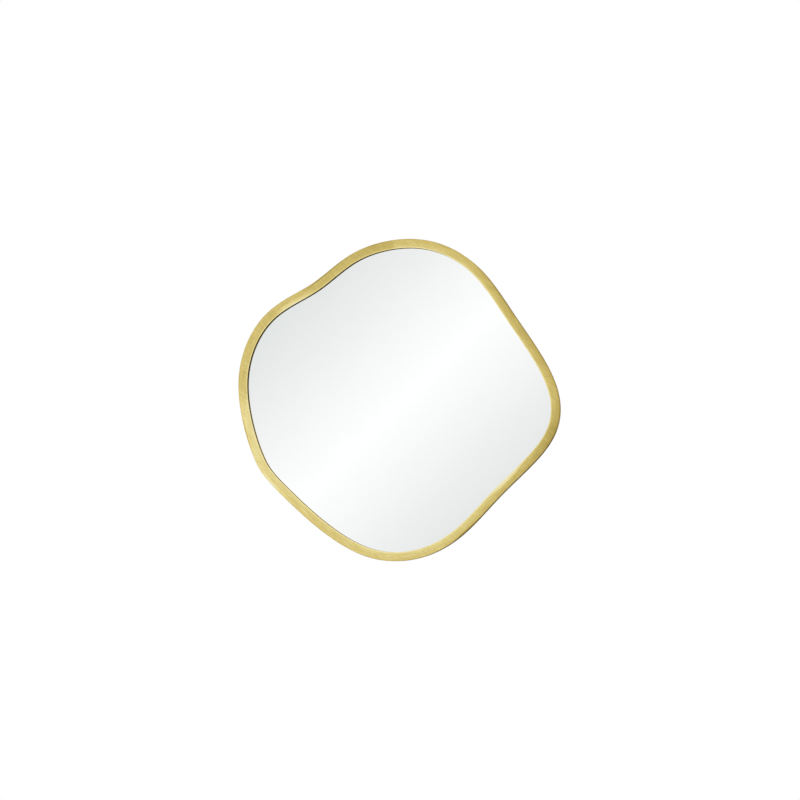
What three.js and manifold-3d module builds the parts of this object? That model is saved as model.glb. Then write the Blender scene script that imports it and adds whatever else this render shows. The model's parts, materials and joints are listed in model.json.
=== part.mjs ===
import * as THREE from 'three';
import { mergeVertices } from 'three/addons/utils/BufferGeometryUtils.js';
import Module from 'manifold-3d';

// Irregular wall mirror: a glass with a soft pebble outline in a deep, narrow metal channel frame.
// Millimetres. +X is to the right and +Z up as seen from the front, the wall is the plane y = 0 and
// the mirror faces -Y. Every flat piece is drawn in x and z and stands at a height off the wall.

// Frame channel
const overallWidth = 914; // the height follows from the outline
const wallGap = 2; // wall to the frame's rear rim
const frameDepth = 31; // rear rim to the front of the face
const faceWidth = 25.4; // width of the flat front face
const sheet = 1.5; // metal thickness of face and bands
const edgeEase = 0.5; // eased front edges of the face

// Layers inside the frame, from the back board forward
const boardHeight = 6.5; // wall to the back of the board
const boardThickness = 6;
const foamThickness = 1.5;
const filmThickness = 0.5;
const glassThickness = 4;
const gasketThickness = 0.5;

// Clearances
const coreGap = 0.5; // core to either band
const boardGap = 1; // board edge to the outer band
const glassOverlap = 10; // glass hidden behind the face
const glassGap = 0.5; // glass edge to the rebate in the core
const filmInset = 0.5; // film edge inside the glass edge
const coreJoint = 0.3; // gap at each butt joint of the core

// Foam strips between film and board
const foamWidth = 30;
const foamPitch = 160;
const foamCount = 4;
const foamMargin = 110; // strip ends to the film's edge

// Screws round the edge of the board
const boardScrewCount = 12;
const boardScrewLength = 20;
const boardHoleRadius = 2.25;
const shankRadius = 1.5;
const pilotRadius = 1.8;
const pilotExtra = 0.5; // hole depth beyond the screw tip
const headRadius = 3.5;
const headHeight = 2.25;
const recessWidth = 1;
const recessLength = 4;
const recessDepth = 1.25;

// Hangers
const hangerX = 250; // left and right of the middle
const hangerDrop = 100; // frame's upper edge to the ring's pivot, at the lower side of the two
const strapThickness = 1.25;
const strapWidth = 14;
const strapLength = 36;
const strapHoleRadius = 1.8;
const strapHoles = [-9.5, -27]; // below the pivot
const hangerScrewLength = 6;
const wireRadius = 1.25;
const wireClearance = 0.3; // wire to the curl it turns in
const curlEnd = 205; // angle at which the curl stops, degrees
const ringInnerWidth = 16;
const ringLeg = 6; // pivot to the start of the round end
const ringCorner = 2.5; // bend radius at the ends of the bar
const wireJoint = 0.5; // gap between the wire's two ends, inside the curl
const ringRestGap = 0.3; // leaning ring to the board

// Wall bumpers
const bumperRadius = 8;
const bumperTipRadius = 5.5;
const bumperRim = 1.5; // straight part of the side, next to the board
const bumperEase = 1; // rounding of the tip
const bumperPlaces = [0.16, 0.33, 0.63, 0.83]; // shares of the way round the outline
const bumperInset = 45;

const faceBack = wallGap + frameDepth - sheet;
const boardFront = boardHeight + boardThickness;
const filmBack = boardFront + foamThickness;
const glassBack = filmBack + filmThickness;
const glassFront = glassBack + glassThickness;
const glassInset = faceWidth - glassOverlap;
const rebateInset = glassInset - glassGap;
const boardInset = sheet + boardGap;
const screwInset = (sheet + coreGap + rebateInset) / 2;
const outlineSteps = 136; // straight steps that stand for the curve, all the way round

// The outline is one closed, evenly weighted cubic spline, run counter-clockwise from the right.
// These are the corners of its control polygon in x and z, as drawn; it is then centred and
// brought to the overall width.
const drawnCorners = [
  [464, 48],
  [324, 238],
  [235, 387],
  [72, 474],
  [-137, 433],
  [-236, 322],
  [-393, 265],
  [-484, 67],
  [-413, -186],
  [-360, -244],
  [-101, -488],
  [154, -435],
  [281, -266],
  [462, -120],
].map(([x, z]) => new THREE.Vector2(x, z));

class ClosedSpline extends THREE.Curve {
  constructor(corners) {
    super();
    this.corners = corners;
  }

  getPoint(t, target = new THREE.Vector2()) {
    const count = this.corners.length;
    const place = t * count;
    const span = Math.min(Math.floor(place), count - 1);
    const s = place - span;
    const weights = [
      (1 - s) ** 3 / 6,
      (3 * s ** 3 - 6 * s ** 2 + 4) / 6,
      (-3 * s ** 3 + 3 * s ** 2 + 3 * s + 1) / 6,
      s ** 3 / 6,
    ];
    target.set(0, 0);
    weights.forEach((weight, i) => {
      target.addScaledVector(this.corners[(span + i + count - 1) % count], weight);
    });
    return target;
  }
}

const drawnBox = new THREE.Box2().setFromPoints(new ClosedSpline(drawnCorners).getPoints(1400));
const drawnMiddle = drawnBox.getCenter(new THREE.Vector2());
const outlineScale = overallWidth / drawnBox.getSize(new THREE.Vector2()).x;
const outline = new ClosedSpline(
  drawnCorners.map((corner) => corner.clone().sub(drawnMiddle).multiplyScalar(outlineScale)),
);
outline.arcLengthDivisions = 1400;

// A point at a share u of the way round, moved in from the outline by inset.
function outlinePoint(u, inset) {
  const along = outline.getTangentAt(u);
  return outline.getPointAt(u).add(new THREE.Vector2(-along.y, along.x).multiplyScalar(inset));
}

function outlineStretch(inset, from = 0, to = 1) {
  const steps = Math.round((to - from) * outlineSteps);
  const points = [];
  for (let i = 0; i <= steps; i += 1) {
    points.push(outlinePoint(from + ((to - from) * i) / steps, inset));
  }
  return points;
}

function outlineLoop(inset) {
  return outlineStretch(inset).slice(0, -1);
}

// Lowest and highest z at which the outline, moved in by inset, crosses an upright line at x.
function reachAt(x, inset) {
  const loop = outlineLoop(inset);
  const heights = loop.flatMap((a, i) => {
    const b = loop[(i + 1) % loop.length];
    return a.x < x === b.x < x ? [] : [a.y + ((b.y - a.y) * (x - a.x)) / (b.x - a.x)];
  });
  return [Math.min(...heights), Math.max(...heights)];
}

function ringShape(outerInset, innerInset) {
  const shape = new THREE.Shape(outlineLoop(outerInset));
  shape.holes.push(new THREE.Path(outlineLoop(innerInset)));
  return shape;
}

// Turns a drawing so that its y points up and its thickness grows away from the wall.
const upright = new THREE.Matrix4().set(1, 0, 0, 0, 0, 0, -1, 0, 0, 1, 0, 0, 0, 0, 0, 1);

function plate(shape, low, high) {
  const geometry = new THREE.ExtrudeGeometry(shape, { depth: high - low, bevelEnabled: false });
  return geometry.translate(0, 0, low).applyMatrix4(upright);
}

const wasm = await Module();
wasm.setup();

function toSolid(geometry) {
  const bare = geometry.clone();
  bare.deleteAttribute('normal');
  bare.deleteAttribute('uv');
  const merged = mergeVertices(bare);
  return new wasm.Manifold(
    new wasm.Mesh({
      numProp: 3,
      vertProperties: merged.attributes.position.array,
      triVerts: new Uint32Array(merged.index.array),
    }),
  );
}

function toGeometry(solid) {
  const mesh = solid.getMesh();
  const geometry = new THREE.BufferGeometry();
  geometry.setAttribute('position', new THREE.BufferAttribute(mesh.vertProperties, 3));
  geometry.setIndex(new THREE.BufferAttribute(mesh.triVerts, 1));
  geometry.computeVertexNormals();
  return geometry;
}

function material(color, roughness, metalness) {
  return new THREE.MeshStandardMaterial({ color, roughness, metalness });
}

const brassTone = { color: '#d3c079', roughness: 0.35, metalness: 0.9 };
const zinc = { color: '#b9bcbf', roughness: 0.4, metalness: 0.9 };
const darkSteel = { color: '#8d8f92', roughness: 0.4, metalness: 0.9 };
const fibreboard = { color: '#a98c68', roughness: 0.85, metalness: 0 };
const silvered = { color: '#e8eef0', roughness: 0.03, metalness: 1 };
const greyFilm = { color: '#3f454a', roughness: 0.6, metalness: 0 };
const blackFoam = { color: '#1d1d1d', roughness: 0.9, metalness: 0 };
const whiteFoam = { color: '#e9e7e0', roughness: 0.95, metalness: 0 };
const rubber = { color: '#26282a', roughness: 0.85, metalness: 0 };
const group = new THREE.Group();

function addPiece(name, geometry, look, place = [0, 0, 0]) {
  const mesh = new THREE.Mesh(geometry, material(look.color, look.roughness, look.metalness));
  mesh.name = name;
  mesh.position.set(...place);
  group.add(mesh);
  return mesh;
}

// Frame channel: a flat face with eased edges, laid over a deep outer and a shallow inner band
const easedFace = new THREE.ExtrudeGeometry(ringShape(0, faceWidth), {
  depth: sheet,
  bevelThickness: edgeEase,
  bevelSize: edgeEase,
  bevelOffset: -edgeEase,
  bevelSegments: 1,
});
easedFace.translate(0, 0, faceBack - edgeEase).applyMatrix4(upright);
const behindFace = new THREE.BoxGeometry(2 * overallWidth, faceBack, 2 * overallWidth);
behindFace.translate(0, -faceBack / 2, 0);
addPiece('face_ring', toGeometry(toSolid(easedFace).subtract(toSolid(behindFace))), brassTone);
addPiece('outer_band', plate(ringShape(0, sheet), wallGap, faceBack), brassTone);
const bandRear = glassFront + gasketThickness;
addPiece('inner_band', plate(ringShape(faceWidth - sheet, faceWidth), bandRear, faceBack), brassTone);

// A round hole or rod through the wall direction
function rod(radius, x, z, low, high) {
  const geometry = new THREE.CylinderGeometry(radius, radius, high - low, 10);
  return geometry.translate(x, -(low + high) / 2, z);
}

const boardScrewPlaces = [];
for (let i = 0; i < boardScrewCount; i += 1) {
  boardScrewPlaces.push(outlinePoint((i + 0.5) / boardScrewCount, screwInset));
}

// Core: four curved fibreboard segments with a rebate for the glass and pilot holes for the screws
const glassPocket = toSolid(plate(new THREE.Shape(outlineLoop(rebateInset)), boardHeight, glassFront));
const pilotDepth = boardHeight + boardScrewLength + pilotExtra;
['core_right', 'core_top', 'core_left', 'core_bottom'].forEach((name, quarter) => {
  const trim = coreJoint / 2 / outline.getLength();
  const from = (quarter - 0.5) / 4 + trim;
  const to = (quarter + 0.5) / 4 - trim;
  const wrapped = (inset) =>
    quarter === 0
      ? [...outlineStretch(inset, from + 1, 1).slice(0, -1), ...outlineStretch(inset, 0, to)]
      : outlineStretch(inset, from, to);
  const outer = wrapped(sheet + coreGap);
  const inner = wrapped(faceWidth - sheet - coreGap).reverse();
  let solid = toSolid(plate(new THREE.Shape([...outer, ...inner]), boardFront, faceBack));
  solid = solid.subtract(glassPocket);
  boardScrewPlaces.forEach((place) => {
    solid = solid.subtract(toSolid(rod(pilotRadius, place.x, place.y, boardHeight, pilotDepth)));
  });
  addPiece(name, toGeometry(solid), fibreboard);
});

// Glass with its backing film, the gasket under the inner band and the foam strips behind
const glass = plate(new THREE.Shape(outlineLoop(glassInset)), glassBack, glassFront);
addPiece('mirror_glass', glass, silvered);
const film = plate(new THREE.Shape(outlineLoop(glassInset + filmInset)), filmBack, glassBack);
addPiece('backing_film', film, greyFilm);
const gasket = plate(ringShape(faceWidth - sheet, faceWidth), glassFront, bandRear);
addPiece('glass_gasket', gasket, blackFoam);
for (let i = 0; i < foamCount; i += 1) {
  const x = (i - (foamCount - 1) / 2) * foamPitch;
  const [low, high] = reachAt(x, glassInset + filmInset + foamMargin);
  const strip = new THREE.BoxGeometry(foamWidth, foamThickness, high - low);
  const place = [x, -(boardFront + filmBack) / 2, (low + high) / 2];
  addPiece(`foam_strip_${i + 1}`, strip, whiteFoam, place);
}

// Back board with clearance holes at the edge and blind pilot holes for the hanger screws
const hangerSides = { left: -hangerX, right: hangerX };
const hangerZ = Math.min(reachAt(-hangerX, 0)[1], reachAt(hangerX, 0)[1]) - hangerDrop;
let board = toSolid(plate(new THREE.Shape(outlineLoop(boardInset)), boardHeight, boardFront));
boardScrewPlaces.forEach((place) => {
  board = board.subtract(toSolid(rod(boardHoleRadius, place.x, place.y, 0, filmBack)));
});
const hangerPilot = boardHeight - strapThickness + hangerScrewLength + pilotExtra;
Object.values(hangerSides).forEach((x) => {
  strapHoles.forEach((drop) => {
    board = board.subtract(toSolid(rod(pilotRadius, x, hangerZ + drop, 0, hangerPilot)));
  });
});
addPiece('backing_board', toGeometry(board), fibreboard);

// Pan head screw, driven towards the front, with its head's seat at y = 0 and a cross recess
function screwGeometry(length) {
  const points = [
    [0, -length],
    [shankRadius * 0.4, -length],
    [shankRadius, -length + 2 * shankRadius],
    [shankRadius, 0],
    [headRadius, 0],
    [headRadius, headHeight * 0.45],
    [headRadius * 0.65, headHeight],
    [0, headHeight],
  ].map(([r, y]) => new THREE.Vector2(r, y));
  let solid = toSolid(new THREE.LatheGeometry(points, 10));
  [
    [recessLength, recessWidth],
    [recessWidth, recessLength],
  ].forEach(([x, z]) => {
    const slot = new THREE.BoxGeometry(x, 2 * recessDepth, z).translate(0, headHeight, 0);
    solid = solid.subtract(toSolid(slot));
  });
  return toGeometry(solid);
}

const boardScrew = screwGeometry(boardScrewLength);
boardScrewPlaces.forEach((place, i) => {
  addPiece(`board_screw_${i + 1}`, boardScrew.clone(), darkSteel, [place.x, -boardHeight, place.y]);
});

// Hanger strap: a round-ended strip curled round the ring's bar, seen from its side in
// height above the pivot and distance off the board
const curlRadius = wireRadius + wireClearance;
const curlOuter = curlRadius + strapThickness;
function strapGeometry() {
  const end = THREE.MathUtils.degToRad(curlEnd);
  const side = new THREE.Shape();
  side.moveTo(-strapLength, 0);
  side.lineTo(0, 0);
  side.absarc(0, curlOuter, curlOuter, -Math.PI / 2, end, false);
  side.absarc(0, curlOuter, curlRadius, end, -Math.PI / 2, true);
  side.lineTo(-strapLength, strapThickness);
  side.closePath();
  const strip = new THREE.ExtrudeGeometry(side, {
    depth: strapWidth,
    bevelEnabled: false,
    curveSegments: 8,
  });
  // length of the drawing becomes +Z, its height +Y and its width runs along X
  strip.translate(0, 0, -strapWidth / 2);
  strip.applyMatrix4(new THREE.Matrix4().set(0, 0, -1, 0, 0, 1, 0, 0, 1, 0, 0, 0, 0, 0, 0, 1));
  return strip;
}

function strapPlan() {
  const half = strapWidth / 2;
  const plan = new THREE.Shape();
  plan.moveTo(half, -strapLength + half);
  plan.lineTo(half, 2 * curlOuter);
  plan.lineTo(-half, 2 * curlOuter);
  plan.lineTo(-half, -strapLength + half);
  plan.absarc(0, -strapLength + half, half, Math.PI, 2 * Math.PI, false);
  return plate(plan, -3 * curlOuter, curlOuter);
}

// D ring: one wire bent to a straight bar and a round end, its two ends meeting inside the curl
function ringGeometry() {
  const half = ringInnerWidth / 2 + wireRadius;
  const top = ringLeg + half;
  const round = (4 / 3) * Math.tan(Math.PI / 8) * half; // handle of a quarter circle
  const path = new THREE.CurvePath();
  const run = (Curve, ...stops) => {
    path.add(new Curve(...stops.map(([x, z]) => new THREE.Vector3(x, 0, z))));
  };
  run(THREE.LineCurve3, [wireJoint / 2, 0], [half - ringCorner, 0]);
  run(THREE.QuadraticBezierCurve3, [half - ringCorner, 0], [half, 0], [half, ringCorner]);
  run(THREE.LineCurve3, [half, ringCorner], [half, ringLeg]);
  run(THREE.CubicBezierCurve3, [half, ringLeg], [half, ringLeg + round], [round, top], [0, top]);
  run(THREE.CubicBezierCurve3, [0, top], [-round, top], [-half, ringLeg + round], [-half, ringLeg]);
  run(THREE.LineCurve3, [-half, ringLeg], [-half, ringCorner]);
  run(THREE.QuadraticBezierCurve3, [-half, ringCorner], [-half, 0], [ringCorner - half, 0]);
  run(THREE.LineCurve3, [ringCorner - half, 0], [-wireJoint / 2, 0]);
  const section = new THREE.Shape();
  section.absarc(0, 0, wireRadius, 0, 2 * Math.PI, false);
  return new THREE.ExtrudeGeometry(section, { steps: 44, curveSegments: 4, extrudePath: path });
}

const strapSolid = toSolid(strapGeometry()).intersect(toSolid(strapPlan()));
const ringWire = ringGeometry();
const hangerScrew = screwGeometry(hangerScrewLength);
const ringReach = ringLeg + ringInnerWidth / 2 + wireRadius;
const ringLean = Math.asin((curlOuter - wireRadius - ringRestGap) / ringReach);
Object.entries(hangerSides).forEach(([side, x]) => {
  let strap = strapSolid;
  strapHoles.forEach((drop) => {
    strap = strap.subtract(toSolid(rod(strapHoleRadius, 0, drop, -3 * curlOuter, curlOuter)));
  });
  addPiece(`hanger_strap_${side}`, toGeometry(strap), zinc, [x, -boardHeight, hangerZ]);
  const ring = addPiece(`d_ring_${side}`, ringWire.clone(), zinc, [
    x,
    curlOuter - boardHeight,
    hangerZ,
  ]);
  ring.rotation.x = ringLean;
  strapHoles.forEach((drop, i) => {
    addPiece(`hanger_screw_${side}_${i + 1}`, hangerScrew.clone(), zinc, [
      x,
      strapThickness - boardHeight,
      hangerZ + drop,
    ]);
  });
});

// Bumpers: rubber buttons on the board whose flat tips rest on the wall
const bumperProfile = [
  [0, -boardHeight],
  [bumperRadius, -boardHeight],
  [bumperRadius, bumperRim - boardHeight],
  [bumperTipRadius + bumperEase, -bumperEase],
  [bumperTipRadius, 0],
  [0, 0],
].map(([r, y]) => new THREE.Vector2(r, y));
const bumperNames = ['upper_right', 'upper_left', 'lower_left', 'lower_right'];
bumperPlaces.forEach((u, i) => {
  const place = outlinePoint(u, bumperInset);
  const button = new THREE.LatheGeometry(bumperProfile, 20);
  addPiece(`wall_bumper_${bumperNames[i]}`, button, rubber, [place.x, 0, place.y]);
});

export default group;
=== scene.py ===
import json
import math

import bmesh
import bpy
from mathutils import Matrix, Vector


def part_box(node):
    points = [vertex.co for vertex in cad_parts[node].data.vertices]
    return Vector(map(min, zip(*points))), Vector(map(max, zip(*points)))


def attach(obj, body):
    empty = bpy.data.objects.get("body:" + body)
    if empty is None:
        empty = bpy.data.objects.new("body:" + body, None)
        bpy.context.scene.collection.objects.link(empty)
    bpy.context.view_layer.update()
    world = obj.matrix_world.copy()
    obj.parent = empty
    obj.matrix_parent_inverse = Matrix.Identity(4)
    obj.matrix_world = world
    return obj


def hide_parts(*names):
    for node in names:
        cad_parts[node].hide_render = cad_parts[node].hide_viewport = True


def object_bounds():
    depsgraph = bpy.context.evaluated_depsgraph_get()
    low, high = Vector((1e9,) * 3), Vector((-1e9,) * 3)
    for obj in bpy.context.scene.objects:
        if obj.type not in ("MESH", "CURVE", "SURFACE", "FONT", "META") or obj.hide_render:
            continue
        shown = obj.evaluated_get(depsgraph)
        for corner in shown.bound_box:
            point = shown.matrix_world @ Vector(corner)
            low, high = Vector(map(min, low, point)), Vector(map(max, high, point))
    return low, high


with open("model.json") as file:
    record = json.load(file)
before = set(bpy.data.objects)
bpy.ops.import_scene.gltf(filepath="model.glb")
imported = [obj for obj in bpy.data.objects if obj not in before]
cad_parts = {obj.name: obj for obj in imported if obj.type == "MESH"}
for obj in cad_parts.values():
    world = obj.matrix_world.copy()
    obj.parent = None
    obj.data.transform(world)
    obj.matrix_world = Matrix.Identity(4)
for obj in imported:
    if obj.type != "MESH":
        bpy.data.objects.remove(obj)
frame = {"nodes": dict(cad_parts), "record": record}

cadBox = [list(corner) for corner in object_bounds()]
scene = bpy.context.scene
nodes = frame["nodes"]
mm = 0.001
touch = 0.1 * mm         # points nearer than this count as level
facing = 0.9             # a face turned this far along an axis counts as facing it


# small helpers: selection, editing, modifiers

def deselectAll():
    bpy.ops.object.select_all(action="DESELECT")


def selectOnly(piece):
    deselectAll()
    piece.select_set(True)
    bpy.context.view_layer.objects.active = piece


def editPiece(piece):
    selectOnly(piece)
    bpy.ops.object.mode_set(mode="EDIT")


def leaveEdit():
    bpy.ops.object.mode_set(mode="OBJECT")


def pick(piece, kind, test):  # kind is edges or faces; selects those that pass the test
    bpy.ops.mesh.select_mode(type={"edges": "EDGE", "faces": "FACE"}[kind])
    bpy.ops.mesh.select_all(action="DESELECT")
    mesh = bmesh.from_edit_mesh(piece.data)
    for part in getattr(mesh, kind):
        part.select_set(bool(test(part)))
    bmesh.update_edit_mesh(piece.data)


def extrudeBy(x, y, z):
    bpy.ops.mesh.extrude_region_move(TRANSFORM_OT_translate={"value": (x, y, z)})


def faceOutwards():
    bpy.ops.mesh.select_all(action="SELECT")
    bpy.ops.mesh.normals_make_consistent(inside=False)


def addModifier(piece, kind, **settings):  # added and applied at once
    selectOnly(piece)
    modifier = piece.modifiers.new(kind.title(), kind)
    for name, value in settings.items():
        setattr(modifier, name, value)
    bpy.ops.object.modifier_apply(modifier=modifier.name)


def bevelEdges(piece, width, degrees, segments=2):  # rounds the edges sharper than the degrees
    addModifier(piece, "BEVEL", width=width, segments=segments, limit_method="ANGLE",
                angle_limit=math.radians(degrees), harden_normals=False)


def cutWith(piece, cutter):
    addModifier(piece, "BOOLEAN", operation="DIFFERENCE", object=cutter, solver="EXACT")
    bpy.data.objects.remove(cutter)


def smoothPiece(piece, degrees=35):
    selectOnly(piece)
    bpy.ops.object.shade_smooth_by_angle(angle=math.radians(degrees))


def settle(piece, name):  # names the piece and puts its place in its mesh
    selectOnly(piece)
    bpy.ops.object.transform_apply(location=True, rotation=True, scale=True)
    piece.name = name
    piece.data.name = name


def dress(piece, material, slotName, body, *replaced):
    piece.data.materials.clear()
    piece.data.materials.append(material)
    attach(piece, body)
    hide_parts(*replaced)


def copyPiece(piece, name, offset):
    twin = piece.copy()
    twin.data = piece.data.copy()
    twin.data.transform(Matrix.Translation(offset))
    twin.name = name
    twin.data.name = name
    scene.collection.objects.link(twin)
    return twin


# material building blocks; a socket's name has _ for a space

def startMaterial(name, **values):
    material = bpy.data.materials.new(name)
    material.use_nodes = True
    shader = material.node_tree.nodes["Principled BSDF"]
    for socket, value in values.items():
        shader.inputs[socket.replace("_", " ")].default_value = value
    return material, shader


def joinTo(material, shader, **outputs):
    for socket, output in outputs.items():
        material.node_tree.links.new(output, shader.inputs[socket.replace("_", " ")])


def addNode(material, kind, inputs=None, **settings):
    new = material.node_tree.nodes.new("ShaderNode" + kind)
    for name, value in settings.items():
        setattr(new, name, value)
    for socket, value in (inputs or {}).items():
        if isinstance(value, bpy.types.NodeSocket):
            material.node_tree.links.new(value, new.inputs[socket])
        else:
            new.inputs[socket].default_value = value
    return new


def ownPlace(material):
    return addNode(material, "TexCoord").outputs["Object"]


def placed(material, size=(1, 1, 1), turn=0, centre=(0, 0, 0)):  # metres, and degrees about Y
    mapping = addNode(material, "Mapping", {"Vector": ownPlace(material), "Scale": size,
                                            "Location": centre, "Rotation": (0, math.radians(turn), 0)},
                      vector_type="TEXTURE")
    return mapping.outputs["Vector"]


def along(material, vector, letter):  # the vector's X, Y or Z
    return addNode(material, "SeparateXYZ", {"Vector": vector}).outputs[letter]


def cloud(material, vector, detail=2):
    noise = addNode(material, "TexNoise", {"Vector": vector, "Scale": 1.0, "Detail": detail,
                                           "Roughness": 0.55})
    return noise.outputs["Fac"]


def mottle(material, size, detail=2):  # a cloud of one size all ways
    return cloud(material, placed(material, (size, size, size)), detail)


def spread(material, value, low, high, fromLow=0.3, fromHigh=0.7):
    return addNode(material, "MapRange", {"Value": value, "From Min": fromLow, "From Max": fromHigh,
                                          "To Min": low, "To Max": high}).outputs["Result"]


def compute(material, operation, first, second=0.0):
    return addNode(material, "Math", {0: first, 1: second}, operation=operation).outputs[0]


def total(material, parts):
    result = parts[0]
    for part in parts[1:]:
        result = compute(material, "ADD", result, part)
    return result


def tint(material, factor, first, second):
    mix = addNode(material, "Mix", {"Factor": factor}, data_type="RGBA")
    for index, colour in ((6, first), (7, second)):  # the colour inputs, past those for numbers
        if isinstance(colour, bpy.types.NodeSocket):
            material.node_tree.links.new(colour, mix.inputs[index])
        else:
            mix.inputs[index].default_value = (*colour, 1)
    return mix.outputs[2]


def addBump(material, shader, height, depth, strength):
    bump = addNode(material, "Bump", {"Height": height, "Distance": depth, "Strength": strength})
    joinTo(material, shader, Normal=bump.outputs["Normal"])


# camera, floor, light

view = {
    "turn": 7.0,          # degrees to the right of straight on
    "lift": -2.3,         # degrees above the middle
    "distance": 12.0,
    "mmPerPixel": 2.825,  # at the face of the mirror
    "aim": (0.0026, -0.016, 0.0002),
    "sensor": 36,         # width in mm
    "pixels": 800,        # width of the picture
    "farthest": 100,
}
studio = {
    "floorDrop": 0.85,    # below the mirror's lower edge
    "floorSize": (4.2, 3.0),
    "floorTones": ((0.89, 0.89, 0.88), (0.92, 0.92, 0.91)),
    "speckle": 30 * mm,   # size of the floor's pattern
    "fill": 0.62,         # strength of the even light on matt surfaces
    "lampSize": 2.2,
    "keyPlace": (-1.8, -2.6, 2.2),
    "keyPower": 26,
    "rearPlace": (1.6, 2.8, 2.0),
    "rearPower": 20.8,
}
card = {                  # pale card behind the camera that the glass mirrors
    "distance": 16.0,
    "size": 7.0,
    "peak": 1.065,
    "least": 0.8,         # light where the loss is greatest
    "slope": 0.56,        # loss of light per metre of mirror away from the bright diagonal
    "turn": 46,           # tilt of the diagonal
    "shift": (0.006, -0.006),  # where the diagonal passes, as seen on the mirror
    "cool": (0.965, 1.0, 0.985),
    "coolLoss": (0.1, 0.3),    # loss of light at which the cool tone starts and is full
}


def buildCamera():
    turn, lift = math.radians(view["turn"]), math.radians(view["lift"])
    back = Vector((math.sin(turn) * math.cos(lift), -math.cos(turn) * math.cos(lift), math.sin(lift)))
    data = bpy.data.cameras.new("camera")
    data.sensor_width = view["sensor"]
    data.lens = view["sensor"] * view["distance"] / (view["pixels"] * view["mmPerPixel"] * mm)
    data.clip_end = view["farthest"]
    camera = bpy.data.objects.new("camera", data)
    camera.location = Vector(view["aim"]) + back * view["distance"]
    camera.rotation_mode = "QUATERNION"
    camera.rotation_quaternion = (-back).to_track_quat("-Z", "Y")
    scene.collection.objects.link(camera)
    scene.camera = camera
    return camera


def whiteWhereSeen(tree, plain, white):  # white for the camera, in metal and through glass
    paths = tree.nodes.new("ShaderNodeLightPath")
    seen = paths.outputs["Is Camera Ray"]
    for name in ("Is Glossy Ray", "Is Transmission Ray"):
        add = tree.nodes.new("ShaderNodeMath")
        add.operation = "MAXIMUM"
        tree.links.new(seen, add.inputs[0])
        tree.links.new(paths.outputs[name], add.inputs[1])
        seen = add.outputs[0]
    mix = tree.nodes.new("ShaderNodeMixShader")
    for index, output in enumerate((seen, plain, white)):
        tree.links.new(output, mix.inputs[index])
    return mix.outputs[0]


def buildWorld():
    world = bpy.data.worlds.new("studio")
    world.use_nodes = True
    tree = world.node_tree
    plain = tree.nodes["Background"]
    white = tree.nodes.new("ShaderNodeBackground")
    for background, strength in ((plain, studio["fill"]), (white, 1)):
        background.inputs["Color"].default_value = (1, 1, 1, 1)
        background.inputs["Strength"].default_value = strength
    mixed = whiteWhereSeen(tree, plain.outputs[0], white.outputs[0])
    tree.links.new(mixed, tree.nodes["World Output"].inputs["Surface"])
    scene.world = world


def buildFloor():
    deselectAll()
    bpy.ops.mesh.primitive_plane_add(size=1, location=(0, 0, cadBox[0][2] - studio["floorDrop"]))
    floor = bpy.context.object
    floor.scale = (*studio["floorSize"], 1)
    settle(floor, "floor")
    material, shader = startMaterial("paleFloor", Roughness=0.8)
    speckle = mottle(material, studio["speckle"], 3)
    joinTo(material, shader, Base_Color=tint(material, speckle, *studio["floorTones"]))
    floor.data.materials.append(material)


def buildCard(camera):
    eye = camera.location
    reach = 1 + card["distance"] / -eye.y  # how much wider the card's picture is than the glass
    middle = Vector((-eye.x, 0, -eye.z)) * (reach - 1)
    deselectAll()
    bpy.ops.mesh.primitive_plane_add(size=card["size"], location=(middle.x, -card["distance"], middle.z),
                                     rotation=(-math.pi / 2, 0, 0))
    sheet = bpy.context.object
    settle(sheet, "paleCard")
    material, shader = startMaterial("paleCard")
    tree = material.node_tree
    tree.nodes.remove(shader)
    centre = middle + Vector((card["shift"][0], 0, card["shift"][1])) * reach
    away = along(material, placed(material, turn=card["turn"], centre=centre), "X")
    loss = compute(material, "MULTIPLY", compute(material, "ABSOLUTE", away), card["slope"] / reach)
    light = compute(material, "MAXIMUM", compute(material, "SUBTRACT", card["peak"], loss), card["least"])
    colour = tint(material, spread(material, loss, 0, 1, *card["coolLoss"]), (1, 1, 1), card["cool"])
    glow = addNode(material, "Emission", {"Color": colour, "Strength": light})
    tree.links.new(glow.outputs[0], tree.nodes["Material Output"].inputs["Surface"])
    sheet.data.materials.append(material)
    sheet.visible_camera = False
    sheet.visible_diffuse = False
    sheet.visible_shadow = False


def addSoftbox(name, place, power):
    data = bpy.data.lights.new(name, "AREA")
    data.shape = "DISK"
    data.size = studio["lampSize"]
    data.energy = power
    lamp = bpy.data.objects.new(name, data)
    lamp.location = place
    lamp.rotation_mode = "QUATERNION"
    lamp.rotation_quaternion = (-Vector(place)).to_track_quat("-Z", "Y")
    lamp.visible_glossy = False
    scene.collection.objects.link(lamp)


scene.view_settings.view_transform = "Standard"
camera = buildCamera()
buildWorld()
buildFloor()
buildCard(camera)
addSoftbox("keyLight", studio["keyPlace"], studio["keyPower"])
addSoftbox("rearLight", studio["rearPlace"], studio["rearPower"])
print("studio built")


# brushed brass of the face, toned round and across the ring, with painted light and shade: lighter at the
# left, darker at the right, painted highlights and painted shade along the rims

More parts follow.
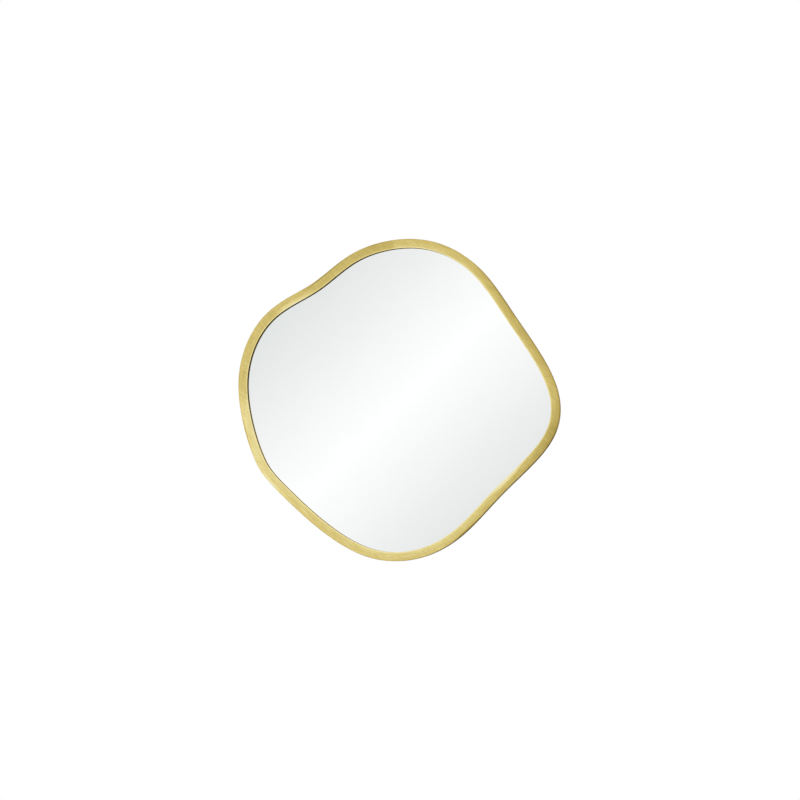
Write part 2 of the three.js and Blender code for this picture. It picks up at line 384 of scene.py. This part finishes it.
brass = {
    "dark": (0.400, 0.295, 0.070),
    "middle": (0.653, 0.514, 0.162),
    "warm": (0.748, 0.598, 0.214),
    "pale": (0.905, 0.778, 0.350),
    "middleAt": 0.5,          # tone at which the metal has its middle colour
    "warmAt": 0.7,
    # paler colour of the painted highlights, for tones above the pale
    "paintedGlint": (0.940, 0.870, 0.560),
    "paintedGlintTones": (1.0, 1.5),
    # degrees anticlockwise from the right, and tone; the lengths meet at -10, 92 and 178; besides the
    # joints the tones paint light and shade, lighter at the left and darker at the right
    "segments": [(-180, 0.82), (-176, 0.94), (-158, 0.94), (-148, 0.84), (-126, 0.75), (-76, 0.80),
                 (-29, 0.54), (-10, 0.26), (-1, 0.52), (29, 0.46), (91, 0.68), (93, 0.42), (137, 0.60),
                 (175, 0.62), (180, 0.82)],
    # painted highlights: place, reach along and over, turn in degrees, tone added
    "paintedHighlights": [((-0.298, 0.272), (0.080, 0.018), 30, 0.50),
                  ((0.305, -0.218), (0.088, 0.017), 46, 0.95),
                  ((-0.366, -0.237), (0.090, 0.015), -49, 0.60)],
    # painted shade in narrow patches along the outer rim, given the same way
    "paintedRimShade": [((0.292, 0.292), (0.120, 0.0045), -55, -0.5),
                  ((-0.205, 0.360), (0.100, 0.005), 39, -0.4),
                  ((-0.435, -0.091), (0.090, 0.005), -75, -0.4),
                  ((0.190, -0.371), (0.120, 0.0045), 42, -0.5)],
    "grainTurn": 38,          # degrees, brush lines run from upper left to lower right
    "fineGrain": (30 * mm, 1, 0.5 * mm),
    "fineTone": 0.08,
    "broadGrain": (42 * mm, 1, 2.6 * mm),
    "broadTone": 0.13,
    "slowSize": 160 * mm,
    "slowTone": 0.03,
    "streaks": (60.0, 9.0),   # in one lap, and over the width of the face
    "streakTone": 0.13,
    "lean": (0.02, 0.40, -0.35, 0.25),      # painted light and shade, darker at the outer rim and lighter at the inner: tone gained over the width, between these places across
    "outerRim": (-0.20, 0.0, 0.02, 0.15),   # painted shade along the outer rim: tone added, between these shares of the width
    # painted highlight along the inner rim: tone added, between these shares of the width
    "innerEdgeHighlight": (0.0, 0.34, 0.84, 0.95),
    "rough": (0.24, 0.38),
    "bump": (0.02 * mm, 0.6),               # depth, strength
}


def lapRound(material):  # 0 to 1 anticlockwise, from the left
    upright = addNode(material, "Mapping", {"Vector": ownPlace(material), "Rotation": (-math.pi / 2, 0, 0)},
                      vector_type="POINT")
    lap = addNode(material, "TexGradient", {"Vector": upright.outputs[0]}, gradient_type="RADIAL")
    return lap.outputs["Fac"]


def segmentToneAndPaintedLight(material, lap):  # brushed lengths, each toned from one joint to the next, with painted light and shade round the ring
    ramp = addNode(material, "ValToRGB", {"Fac": lap})
    stops = ramp.color_ramp.elements
    while len(stops) < len(brass["segments"]):
        stops.new(0.5)
    for stop, (degrees, tone) in zip(stops, brass["segments"]):
        stop.position = degrees / 360 + 0.5
        stop.color = (tone, tone, tone, 1)
    return ramp.outputs["Color"]


def sway(material, value, tone):
    return spread(material, value, -tone, tone)


# a soft spot of painted highlight, or of painted shade where the tone added is below zero
def paintedSpot(material, place, reach, turn, tone):
    centre = (place[0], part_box("face_ring")[0].y, place[1])
    patch = placed(material, (reach[0], 1, reach[1]), -turn, centre)
    near = addNode(material, "TexGradient", {"Vector": patch}, gradient_type="SPHERICAL")
    return addNode(material, "MapRange", {"Value": near.outputs["Fac"], "To Max": tone},
                   interpolation_type="SMOOTHSTEP").outputs["Result"]


def brassColour(material, tone):
    ramp = addNode(material, "ValToRGB", {"Fac": tone})
    stops = ramp.color_ramp.elements
    stops.new(brass["middleAt"])
    stops.new(brass["warmAt"])
    for stop, key in zip(stops, ("dark", "middle", "warm", "pale")):
        stop.color = (*brass[key], 1)
    # tones above 1 turn towards the painted highlights' paler colour
    paintedGlint = spread(material, tone, 0, 1, *brass["paintedGlintTones"])
    return tint(material, paintedGlint, ramp.outputs["Color"], brass["paintedGlint"])


def brushedBrass():
    material, shader = startMaterial("brushedBrass", Metallic=1.0)
    lap = lapRound(material)
    across = addNode(material, "Attribute", attribute_name="across").outputs["Fac"]
    fine = cloud(material, placed(material, brass["fineGrain"], brass["grainTurn"]))
    broad = cloud(material, placed(material, brass["broadGrain"], brass["grainTurn"]))
    slow = mottle(material, brass["slowSize"])
    perLap, perWidth = brass["streaks"]
    lane = addNode(material, "CombineXYZ", {"X": compute(material, "MULTIPLY", lap, perLap),
                                            "Y": compute(material, "MULTIPLY", across, perWidth)})
    streak = cloud(material, lane.outputs[0])
    lean = spread(material, along(material, ownPlace(material), "X"), *brass["lean"])
    # the tone: brushed lengths with painted light round the ring, painted light and shade across the width
    # and along both rims, grain, streaks and painted spots
    parts = [segmentToneAndPaintedLight(material, lap),
             # painted light and shade across the width, stronger towards the right
             compute(material, "MULTIPLY", compute(material, "SUBTRACT", across, 0.5), lean),
             sway(material, broad, brass["broadTone"]),
             sway(material, fine, brass["fineTone"]),
             sway(material, slow, brass["slowTone"]),
             sway(material, streak, brass["streakTone"]),
             spread(material, across, *brass["outerRim"]),
             spread(material, across, *brass["innerEdgeHighlight"])]
    parts += [paintedSpot(material, *spot) for spot in brass["paintedHighlights"] + brass["paintedRimShade"]]
    joinTo(material, shader, Base_Color=brassColour(material, total(material, parts)),
           Roughness=spread(material, fine, *brass["rough"]))
    addBump(material, shader, fine, *brass["bump"])
    return material


# brass of the outer wall, with painted shade: dark reflections at a low angle high up and towards the lower
# right, and a darker colour towards the lower right, darkest low down there

wall = {
    "plain": ((0.46, 0.345, 0.115), (0.64, 0.500, 0.180)),
    # painted shade towards the lower right
    "paintedShade": ((0.29, 0.203, 0.062), (0.43, 0.315, 0.110)),
    # deepest painted shade, low down towards the lower right
    "deep": ((0.215, 0.150, 0.045), (0.32, 0.233, 0.079)),
    "glance": (0.30, 0.21, 0.06),           # seen at a low angle
    # painted dark reflection at a low angle, high up and towards the lower right
    "paintedDarkGlance": (0.055, 0.034, 0.010),
    # painted dark reflection where the painted shade is deepest
    "deepGlance": (0.015, 0.009, 0.003),
    "cornerTurn": 45,                       # direction of the corner with painted shade
    "paintedShadeFrom": (0.365, 0.395),             # metres towards that corner
    "paintedDarkFrom": (0.10, 0.22),               # metres above the middle, over which the painted dark reflection comes in
    "deepFrom": (-0.40, -0.28),             # the painted shade of that corner is darkest below these
    "grain": (30 * mm, 0.4 * mm, 30 * mm),
    "slowSize": 120 * mm,
    "rough": (0.26, 0.40),
    "bump": (0.02 * mm, 0.6),
}


def towardsCorner(material, turn):  # metres from the middle towards the lower right
    return along(material, placed(material, turn=turn), "X")


def sideBrass():
    material, shader = startMaterial("sideBrass", Metallic=1.0)
    fine = cloud(material, placed(material, wall["grain"]))
    slow = mottle(material, wall["slowSize"])
    tone = compute(material, "ADD", spread(material, fine, 0.0, 0.5), spread(material, slow, 0.0, 0.5))
    height = along(material, ownPlace(material), "Z")
    # painted shade towards the lower right, darkest low down there, and painted dark reflections high up
    paintedShade = spread(material, towardsCorner(material, wall["cornerTurn"]), 0, 1, *wall["paintedShadeFrom"])
    paintedDarkShare = compute(material, "MAXIMUM", paintedShade, spread(material, height, 0, 1, *wall["paintedDarkFrom"]))
    deep = compute(material, "MULTIPLY", paintedShade, spread(material, height, 1, 0, *wall["deepFrom"]))
    colour = tint(material, paintedShade, tint(material, tone, *wall["plain"]), tint(material, tone, *wall["paintedShade"]))
    glance = tint(material, paintedDarkShare, wall["glance"], wall["paintedDarkGlance"])
    joinTo(material, shader, Base_Color=tint(material, deep, colour, tint(material, tone, *wall["deep"])),
           Specular_Tint=tint(material, deep, glance, wall["deepGlance"]),
           Roughness=spread(material, fine, *wall["rough"]))
    addBump(material, shader, fine, *wall["bump"])
    return material


# brass of the inner return, with painted shade towards the upper left, lighter elsewhere

innerReturn = {
    # painted shade towards the upper left
    "dark": ((0.15, 0.108, 0.032), (0.24, 0.178, 0.054)),
    "unshaded": ((0.40, 0.305, 0.095), (0.58, 0.460, 0.155)),
    # painted dark reflection at a low angle, where the painted shade lies
    "shadeGlance": (0.03, 0.020, 0.005),
    "unshadedGlance": (0.34, 0.25, 0.08),
    "cornerTurn": 45,
    "unshadedFrom": (-0.36, -0.14),             # metres towards the lower right, over which the painted shade gives way
    "grain": (20 * mm, 0.5 * mm, 20 * mm),
    "rough": (0.42, 0.6),
}


def darkReturn():
    material, shader = startMaterial("darkReturn", Metallic=1.0)
    fine = cloud(material, placed(material, innerReturn["grain"]))
    corner = towardsCorner(material, innerReturn["cornerTurn"])
    # painted shade towards the upper left, giving way towards the lower right
    unshadedShare = spread(material, corner, 0, 1, *innerReturn["unshadedFrom"])
    colour = tint(material, unshadedShare, tint(material, fine, *innerReturn["dark"]),
                  tint(material, fine, *innerReturn["unshaded"]))
    glance = tint(material, unshadedShare, innerReturn["shadeGlance"], innerReturn["unshadedGlance"])
    joinTo(material, shader, Base_Color=colour, Specular_Tint=glance,
           Roughness=spread(material, fine, *innerReturn["rough"]))
    return material


# other finishes: two tones, sizes of the pattern, roughness from and to, bump's depth and strength

glass = {
    "tones": ((0.930, 0.940, 0.938), (0.945, 0.955, 0.953)),
    "haze": 90 * mm,
    "dust": 3 * mm,
    "hazeRough": (0.004, 0.014),
    "dustRough": (0.0, 0.004),
}


def mirrorGlass():
    material, shader = startMaterial("mirrorGlass", Metallic=1.0)
    haze = mottle(material, glass["haze"], 4)
    dust = mottle(material, glass["dust"])
    rough = compute(material, "ADD", spread(material, haze, *glass["hazeRough"]),
                    spread(material, dust, *glass["dustRough"]))
    joinTo(material, shader, Base_Color=tint(material, haze, *glass["tones"]), Roughness=rough)
    return material


fibres = {
    "tones": ((0.30, 0.185, 0.095), (0.43, 0.285, 0.155)),
    "size": (1.6 * mm, 1.6 * mm, 0.5 * mm),
    "turn": 30,
    "fleck": (0.19, 0.115, 0.06),
    "fleckSize": 0.6 * mm,
    "fleckMix": (0.0, 0.45, 0.58, 0.72),    # share of the fleck's tone, between these values
    "pale": (0.50, 0.36, 0.21),
    "paleSize": 220 * mm,
    "paleMix": (0.0, 0.22),
    "rough": (0.75, 0.95),
    "bump": (0.08 * mm, 0.5),
}


def fibreboard():
    material, shader = startMaterial("fibreboard")
    fibre = cloud(material, placed(material, fibres["size"], fibres["turn"]), 4)
    fleck = spread(material, mottle(material, fibres["fleckSize"]), *fibres["fleckMix"])
    pale = spread(material, mottle(material, fibres["paleSize"], 3), *fibres["paleMix"])
    base = tint(material, spread(material, fibre, 0, 1), *fibres["tones"])
    flecked = tint(material, fleck, base, fibres["fleck"])
    joinTo(material, shader, Base_Color=tint(material, pale, flecked, fibres["pale"]),
           Roughness=spread(material, fibre, *fibres["rough"]))
    addBump(material, shader, fibre, *fibres["bump"])
    return material


zinc = {
    "tones": ((0.46, 0.48, 0.50), (0.66, 0.68, 0.70)),
    "bloom": 6 * mm,
    "scratch": (5 * mm, 5 * mm, 0.2 * mm),
    "scratchTurn": 24,
    "rough": (0.22, 0.42),
    "bump": (0.01 * mm, 0.5),
}


def zincPlate():
    material, shader = startMaterial("zincPlate", Metallic=1.0)
    bloom = spread(material, mottle(material, zinc["bloom"], 3), 0, 1)
    scratch = cloud(material, placed(material, zinc["scratch"], zinc["scratchTurn"]))
    joinTo(material, shader, Base_Color=tint(material, bloom, *zinc["tones"]),
           Roughness=spread(material, scratch, *zinc["rough"]))
    addBump(material, shader, scratch, *zinc["bump"])
    return material


steel = {
    "tones": ((0.26, 0.26, 0.27), (0.42, 0.42, 0.43)),
    "bloom": 2 * mm,
    "rough": (0.3, 0.5),
}


def screwSteel():
    material, shader = startMaterial("screwSteel", Metallic=1.0)
    bloom = mottle(material, steel["bloom"], 3)
    joinTo(material, shader, Base_Color=tint(material, spread(material, bloom, 0, 1), *steel["tones"]),
           Roughness=spread(material, bloom, *steel["rough"]))
    return material


rubber = {
    "tones": ((0.014, 0.014, 0.015), (0.030, 0.030, 0.032)),
    "grain": 0.35 * mm,
    "rough": (0.62, 0.85),
    "bump": (0.03 * mm, 0.5),
}


def blackRubber():
    material, shader = startMaterial("blackRubber")
    grain = mottle(material, rubber["grain"], 3)
    joinTo(material, shader, Base_Color=tint(material, grain, *rubber["tones"]),
           Roughness=spread(material, grain, *rubber["rough"]))
    addBump(material, shader, grain, *rubber["bump"])
    return material


foams = {
    "foamLine": ((0.016, 0.013, 0.008), (0.034, 0.027, 0.017)),
    "whiteFoam": ((0.62, 0.60, 0.55), (0.80, 0.78, 0.73)),
    "cell": 0.8 * mm,
    "rough": (0.85, 0.98),
    "bump": (0.1 * mm, 0.5),
}


def foam(name):
    material, shader = startMaterial(name)
    size = foams["cell"]
    cells = addNode(material, "TexVoronoi", {"Vector": placed(material, (size, size, size)),
                                             "Scale": 1.0}).outputs["Distance"]
    joinTo(material, shader, Base_Color=tint(material, cells, *foams[name]),
           Roughness=spread(material, cells, *foams["rough"], 0.0, 1.0))
    addBump(material, shader, cells, *foams["bump"])
    return material


film = {
    "tones": ((0.040, 0.046, 0.052), (0.065, 0.072, 0.080)),
    "wrinkle": (50 * mm, 50 * mm, 8 * mm),
    "wrinkleTurn": 60,
    "rough": (0.38, 0.6),
    "bump": (0.1 * mm, 0.4),
}


def dullFilm():
    material, shader = startMaterial("dullFilm")
    wrinkle = cloud(material, placed(material, film["wrinkle"], film["wrinkleTurn"]), 4)
    joinTo(material, shader, Base_Color=tint(material, wrinkle, *film["tones"]),
           Roughness=spread(material, wrinkle, *film["rough"]))
    addBump(material, shader, wrinkle, *film["bump"])
    return material


finishes = {
    "face": brushedBrass(),
    "side": sideBrass(),
    "inner": darkReturn(),
    "glass": mirrorGlass(),
    "board": fibreboard(),
    "zinc": zincPlate(),
    "screw": screwSteel(),
    "rubber": blackRubber(),
    "foamLine": foam("foamLine"),
    "whiteFoam": foam("whiteFoam"),
    "film": dullFilm(),
}
print("finishes mixed")


# frame channel: face, outer wall and inner return, bent and welded as one

channel = {
    "corners": [(464, 48), (324, 238), (235, 387), (72, 474), (-137, 433), (-236, 322), (-393, 265),
                (-484, 67), (-413, -186), (-360, -244), (-101, -488), (154, -435), (281, -266),
                (462, -120)],  # control polygon of the outline, seen from the front
    "stepsPerCorner": 40,
    "faceWidth": 25.4 * mm,
    "sheet": 1.5 * mm,
    "edgeRound": 0.7 * mm,
    "edgeSegments": 3,
    "edgeDegrees": 50,
    "smoothDegrees": 40,
    "outerFront": 0.75,        # a face that fronts less than this takes the wall's finish
    "innerFront": 0.3,
}


def drawOutline():
    deselectAll()
    bpy.ops.curve.primitive_nurbs_path_add()
    outline = bpy.context.object
    spline = outline.data.splines[0]
    spline.points.add(len(channel["corners"]) - len(spline.points))
    for point, (x, z) in zip(spline.points, channel["corners"]):
        point.co = (x * mm, 0, z * mm, 1)
    spline.order_u = 4
    spline.use_endpoint_u = False
    spline.use_cyclic_u = True
    spline.resolution_u = channel["stepsPerCorner"]
    outline.data.dimensions = "3D"
    selectOnly(outline)
    bpy.ops.object.convert(target="MESH")
    return bpy.context.object


def fitToFace(outline, low, high):  # brings the drawn outline to the width and height of the face
    selectOnly(outline)
    bpy.ops.object.origin_set(type="ORIGIN_GEOMETRY", center="BOUNDS")
    size = outline.dimensions
    outline.scale = ((high.x - low.x) / size.x, 1, (high.z - low.z) / size.z)
    outline.location = ((low.x + high.x) / 2, low.y, (low.z + high.z) / 2)
    bpy.ops.object.transform_apply(location=True, rotation=True, scale=True)


def cutFace(piece):  # fills the outline and keeps the face's width along it
    editPiece(piece)
    bpy.ops.mesh.select_all(action="SELECT")
    bpy.ops.mesh.edge_face_add()
    bpy.ops.mesh.select_mode(type="FACE")
    bpy.ops.mesh.inset(thickness=channel["faceWidth"], use_even_offset=True)
    bpy.ops.mesh.delete(type="FACE")
    faceOutwards()
    leaveEdit()
    if piece.data.polygons[0].normal.y > 0:
        piece.data.flip_normals()


def findOuterRim(piece):  # the vertices of the outer of the two rims
    mesh = bmesh.new()
    mesh.from_mesh(piece.data)
    start = max(mesh.verts, key=lambda v: v.co.x)
    rim, current, last = {start.index}, start, None
    while True:
        following = [e.other_vert(current) for e in current.link_edges if e.is_boundary]
        last, current = current, [v for v in following if v is not last][0]
        if current is start:
            break
        rim.add(current.index)
    mesh.free()
    return rim


def markAcross(piece, outerRim):  # 0 along the outer rim of the face, 1 along the inner rim
    mark = piece.data.attributes.new("across", "FLOAT", "POINT")
    for index in range(len(piece.data.vertices)):
        mark.data[index].value = 0 if index in outerRim else 1


def paintWalls(piece, front):  # the outer wall and the inner return get their own finish
    for key in ("side", "inner"):
        piece.data.materials.append(finishes[key])
    across = piece.data.attributes["across"].data
    for face in piece.data.polygons:
        onInner = sum(across[v].value for v in face.vertices) > len(face.vertices) / 2
        limit = channel["innerFront"] if onInner else channel["outerFront"]
        if face.center.y > front + channel["sheet"] or abs(face.normal.y) < limit:
            face.material_index = 2 if onInner else 1


def buildChannel():
    low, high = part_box("face_ring")
    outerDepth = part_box("outer_band")[1].y - low.y
    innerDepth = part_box("inner_band")[1].y - low.y
    piece = drawOutline()
    fitToFace(piece, low, high)
    cutFace(piece)
    outerRim = findOuterRim(piece)
    markAcross(piece, outerRim)
    for onOuter, depth in ((True, outerDepth), (False, innerDepth)):
        editPiece(piece)
        pick(piece, "edges", lambda e: e.is_boundary and e.verts[0].co.y < low.y + touch
             and (e.verts[0].index in outerRim) == onOuter)
        extrudeBy(0, depth, 0)
        leaveEdit()
    addModifier(piece, "SOLIDIFY", thickness=channel["sheet"], offset=-1, use_even_offset=True,
                use_quality_normals=True)
    bevelEdges(piece, channel["edgeRound"], channel["edgeDegrees"], channel["edgeSegments"])
    smoothPiece(piece, channel["smoothDegrees"])
    settle(piece, "frame_channel")
    dress(piece, finishes["face"], "brass_toned_steel", "mirror", "face_ring", "outer_band", "inner_band")
    paintWalls(piece, low.y)


buildChannel()
print("frame channel built")


# carried-over pieces: glass, board, core, film, gasket, foam

carried = {
    "glass": ["mirror_glass"],
    "board": ["backing_board", "core_right", "core_top", "core_left", "core_bottom"],
    "film": ["backing_film"],
    "foamLine": ["glass_gasket"],
    "whiteFoam": ["foam_strip_1", "foam_strip_2", "foam_strip_3", "foam_strip_4"],
}
for key, names in carried.items():
    for name in names:
        nodes[name].data.materials.clear()
        nodes[name].data.materials.append(finishes[key])
print("carried pieces finished")


# screws: one pan head screw, copied to every screw's seat

screw = {
    "headRadius": 3.5 * mm,
    "headHeight": 2.25 * mm,
    "headSides": 40,
    "crown": 0.62,            # share of the head's height that is rounded
    "crownSegments": 6,
    "shankRadius": 1.5 * mm,
    "boardLength": 20 * mm,
    "hangerLength": 6 * mm,
    "tipLength": 3 * mm,
    "tipShare": 0.3,          # of the shank's radius
    "recessWidth": 0.95 * mm,
    "recessLength": 4.0 * mm,
    "recessDepth": 1.3 * mm,
    "recessTaper": 0.7,
    "edge": 0.08 * mm,
    "edgeDegrees": 40,
}


def buildScrew(length):  # seat of the head at the origin, tip towards -Y
    high, tip = screw["headHeight"], screw["tipLength"]
    deselectAll()
    bpy.ops.mesh.primitive_cylinder_add(vertices=screw["headSides"], radius=screw["headRadius"],
                                        depth=high, location=(0, high / 2, 0),
                                        rotation=(-math.pi / 2, 0, 0))
    head = bpy.context.object
    settle(head, "screwHead")
    editPiece(head)
    pick(head, "faces", lambda f: f.normal.y > facing)
    bpy.ops.mesh.bevel(offset=high * screw["crown"], segments=screw["crownSegments"], profile=0.5,
                       affect="EDGES")
    pick(head, "faces", lambda f: f.normal.y < -facing)
    bpy.ops.mesh.inset(thickness=screw["headRadius"] - screw["shankRadius"])
    extrudeBy(0, tip - length, 0)
    extrudeBy(0, -tip, 0)
    bpy.ops.transform.resize(value=(screw["tipShare"], 1, screw["tipShare"]))
    leaveEdit()
    long, narrow = screw["recessLength"], screw["recessWidth"]
    for width, height in ((long, narrow), (narrow, long)):
        cutWith(head, buildRecess(width, height))
    bevelEdges(head, screw["edge"], screw["edgeDegrees"])
    smoothPiece(head)
    return head


def buildRecess(width, height):  # one arm of the cross, narrower at its bottom
    deselectAll()
    bpy.ops.mesh.primitive_cube_add(size=1, location=(0, screw["headHeight"], 0))
    arm = bpy.context.object
    arm.scale = (width, 2 * screw["recessDepth"], height)
    settle(arm, "recess")
    editPiece(arm)
    pick(arm, "faces", lambda f: f.normal.y < -facing)
    bpy.ops.transform.resize(value=(screw["recessTaper"], 1, screw["recessTaper"]))
    leaveEdit()
    return arm


def seatScrews(length, start, key, slotName):
    master = buildScrew(length)
    for name in [n for n in nodes if n.startswith(start)]:
        low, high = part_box(name)
        seat = Vector(((low.x + high.x) / 2, high.y - screw["headHeight"], (low.z + high.z) / 2))
        twin = copyPiece(master, name.replace("screw", "pan_head"), seat)
        dress(twin, finishes[key], slotName, "mirror", name)
    bpy.data.objects.remove(master)


seatScrews(screw["boardLength"], "board_screw", "screw", "screw_steel")
seatScrews(screw["hangerLength"], "hanger_screw", "zinc", "zinc")
print("screws seated")


# hangers: strap curled round the bar, and the D ring that swings in it

hanger = {
    "strapThickness": 1.25 * mm,
    "strapWidth": 14 * mm,
    "strapLength": 36 * mm,
    "strapEnd": 0.49,         # radius of its rounded corners, as a share of the width
    "endSegments": 10,
    "curlDegrees": 295,
    "curlSteps": 26,
    "weld": 0.001 * mm,
    "holeRadius": 1.8 * mm,
    "holeSides": 32,
    "holeCutter": 6 * mm,
    "holes": (-9.5 * mm, -27 * mm),
    "edge": 0.22 * mm,
    "edgeDegrees": 50,
    "wireRadius": 1.25 * mm,
    "wireSteps": 5,
    "ringHalf": 9.25 * mm,
    "ringLeg": 6 * mm,
    "ringCorner": 2.5 * mm,
    "legHandle": 1 * mm,
    "bendSteps": 10,
    "smoothDegrees": 60,
}
ringJoint = {j["child"]: j for j in frame["record"]["behaviour"]["joints"]}


def buildStrap(side):
    pivot = Vector(ringJoint["ring_" + side]["pos_m"])
    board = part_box("backing_board")[1].y
    thick, wide = hanger["strapThickness"], hanger["strapWidth"]
    foot = pivot.z - hanger["strapLength"]
    deselectAll()
    bpy.ops.mesh.primitive_plane_add(size=1, location=(pivot.x, board + thick / 2, pivot.z))
    strap = bpy.context.object
    strap.scale = (wide, thick, 1)
    settle(strap, "hanger_plate_" + side)
    editPiece(strap)
    bpy.ops.mesh.select_all(action="SELECT")
    extrudeBy(0, 0, -hanger["strapLength"])
    pick(strap, "faces", lambda f: f.calc_center_median().z > pivot.z - touch)
    bpy.ops.mesh.spin(steps=hanger["curlSteps"], angle=math.radians(hanger["curlDegrees"]), center=pivot,
                      axis=(1, 0, 0), dupli=False)
    bpy.ops.mesh.select_all(action="SELECT")
    bpy.ops.mesh.remove_doubles(threshold=hanger["weld"])
    pick(strap, "edges", lambda e: all(v.co.z < foot + touch for v in e.verts)
         and abs(e.verts[0].co.x - e.verts[1].co.x) < touch)
    bpy.ops.mesh.bevel(offset=wide * hanger["strapEnd"], segments=hanger["endSegments"], affect="EDGES")
    faceOutwards()
    leaveEdit()
    for drop in hanger["holes"]:
        deselectAll()
        bpy.ops.mesh.primitive_cylinder_add(vertices=hanger["holeSides"], radius=hanger["holeRadius"],
                                            depth=hanger["holeCutter"],
                                            location=(pivot.x, board, pivot.z + drop),
                                            rotation=(math.pi / 2, 0, 0))
        cutWith(strap, bpy.context.object)
    bevelEdges(strap, hanger["edge"], hanger["edgeDegrees"])
    smoothPiece(strap)
    dress(strap, finishes["zinc"], "zinc", "mirror", "hanger_strap_" + side)


def ringStops():  # the D from its bar round to its bar: place, handle before, handle after
    half, leg, bend = hanger["ringHalf"], hanger["ringLeg"], hanger["ringCorner"]
    arc = 4 / 3 * math.tan(math.pi / 8)  # handle of a quarter circle of radius 1
    bow, turn, straight = half * arc, bend * arc, hanger["legHandle"]
    return [
        ((half - bend, 0), (-turn, 0), (turn, 0)),
        ((half, bend), (0, -turn), (0, turn)),
        ((half, leg), (0, -straight), (0, bow)),
        ((0, leg + half), (bow, 0), (-bow, 0)),
        ((-half, leg), (0, bow), (0, -straight)),
        ((-half, bend), (0, turn), (0, -turn)),
        ((bend - half, 0), (-turn, 0), (turn, 0)),
    ]


def buildRing(side):
    pivot = Vector(ringJoint["ring_" + side]["pos_m"])
    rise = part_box("d_ring_" + side)[1].z - pivot.z - hanger["wireRadius"]
    lean = math.acos(min(1, rise / (hanger["ringHalf"] + hanger["ringLeg"])))
    tilt = Matrix.Rotation(lean, 3, "X")
    stops = ringStops()
    deselectAll()
    bpy.ops.curve.primitive_bezier_circle_add()
    wire = bpy.context.object
    spline = wire.data.splines[0]
    spline.bezier_points.add(len(stops) - len(spline.bezier_points))
    for point, (place, before, after) in zip(spline.bezier_points, stops):
        point.handle_left_type = point.handle_right_type = "FREE"
        at = Vector((place[0], 0, place[1]))
        point.co = pivot + tilt @ at
        point.handle_left = pivot + tilt @ (at + Vector((before[0], 0, before[1])))
        point.handle_right = pivot + tilt @ (at + Vector((after[0], 0, after[1])))
    spline.use_cyclic_u = True
    spline.resolution_u = hanger["bendSteps"]
    wire.data.bevel_depth = hanger["wireRadius"]
    wire.data.bevel_resolution = hanger["wireSteps"]
    selectOnly(wire)
    bpy.ops.object.convert(target="MESH")
    ring = bpy.context.object
    settle(ring, "ring_wire_" + side)
    smoothPiece(ring, hanger["smoothDegrees"])
    dress(ring, finishes["zinc"], "zinc", "ring_" + side, "d_ring_" + side)


for side in ("left", "right"):
    buildStrap(side)
    buildRing(side)
print("hangers built")


# bumpers: one rubber button, copied to each corner

bumper = {
    "radius": 8 * mm,
    "height": 6.5 * mm,
    "sides": 64,
    "taper": 0.82,            # radius at the tip, as a share of the base's
    "tipRadius": 5.5 * mm,
    "tipRound": 1.1 * mm,
    "tipSegments": 6,
    "dimpleRadius": 2.2 * mm,
    "dimpleSlope": 0.5 * mm,
    "dimpleDepth": 0.8 * mm,
    "edge": 0.25 * mm,
    "edgeDegrees": 40,
}


def buildBumper():  # tip at y = 0, base towards -Y
    deselectAll()
    bpy.ops.mesh.primitive_cylinder_add(vertices=bumper["sides"], radius=bumper["radius"],
                                        depth=bumper["height"], location=(0, -bumper["height"] / 2, 0),
                                        rotation=(-math.pi / 2, 0, 0))
    button = bpy.context.object
    settle(button, "bumper")
    editPiece(button)
    pick(button, "faces", lambda f: f.normal.y > facing)
    bpy.ops.transform.resize(value=(bumper["taper"], 1, bumper["taper"]))
    bpy.ops.mesh.bevel(offset=bumper["tipRound"], segments=bumper["tipSegments"], affect="EDGES")
    pick(button, "faces", lambda f: f.normal.y > facing and len(f.verts) == bumper["sides"])
    bpy.ops.mesh.inset(thickness=bumper["tipRadius"] - bumper["dimpleRadius"])
    bpy.ops.mesh.inset(thickness=bumper["dimpleSlope"], depth=-bumper["dimpleDepth"])
    leaveEdit()
    bevelEdges(button, bumper["edge"], bumper["edgeDegrees"])
    smoothPiece(button)
    return button


button = buildBumper()
for name in [n for n in nodes if n.startswith("wall_bumper")]:
    low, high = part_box(name)
    twin = copyPiece(button, name.replace("wall_bumper", "bumper"),
                     ((low.x + high.x) / 2, high.y, (low.z + high.z) / 2))
    dress(twin, finishes["rubber"], "rubber", "mirror", name)
bpy.data.objects.remove(button)
print("bumpers seated")
